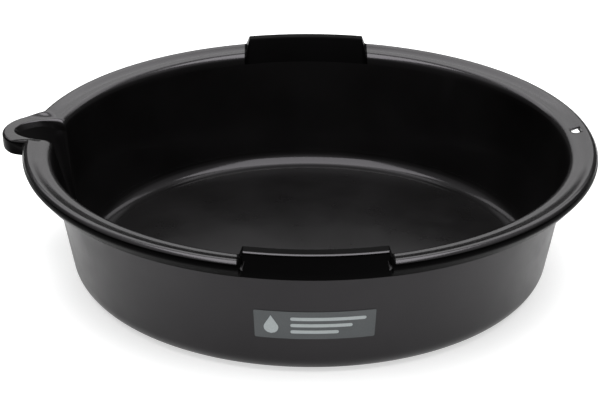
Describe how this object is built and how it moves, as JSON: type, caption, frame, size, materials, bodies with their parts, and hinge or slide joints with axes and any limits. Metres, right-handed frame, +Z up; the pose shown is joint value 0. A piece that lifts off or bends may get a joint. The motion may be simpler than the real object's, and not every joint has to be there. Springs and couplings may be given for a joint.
{
  "type": "oil drain pan",
  "caption": "Round open drain pan in black plastic with a turned-down rim, a pouring spout, raised hand grips, a hanging hole and a plain label on its front wall.",
  "frame": {"origin": "centre of the flat underside of the base", "axes": "+Z up out of the open pan, -X towards the pouring spout, the hand grips at -Y (front, with the label) and +Y"},
  "size_m": [0.4081, 0.386, 0.0975],
  "materials": {
    "pan_plastic": "glossy black moulded plastic, satin on the outside",
    "label_film": "matte dark grey film",
    "label_print": "matte light grey ink"
  },
  "bodies": {
    "root": {"basin_floor": "pan_plastic", "basin_corner": "pan_plastic", "basin_wall": "pan_plastic", "rim_flange": "pan_plastic", "rim_skirt": "pan_plastic", "spout_channel": "pan_plastic", "spout_lip": "pan_plastic", "front_grip": "pan_plastic", "rear_grip": "pan_plastic", "label_film": "label_film", "label_drop": "label_print", "label_bars": "label_print"}
  },
  "joints": []
}
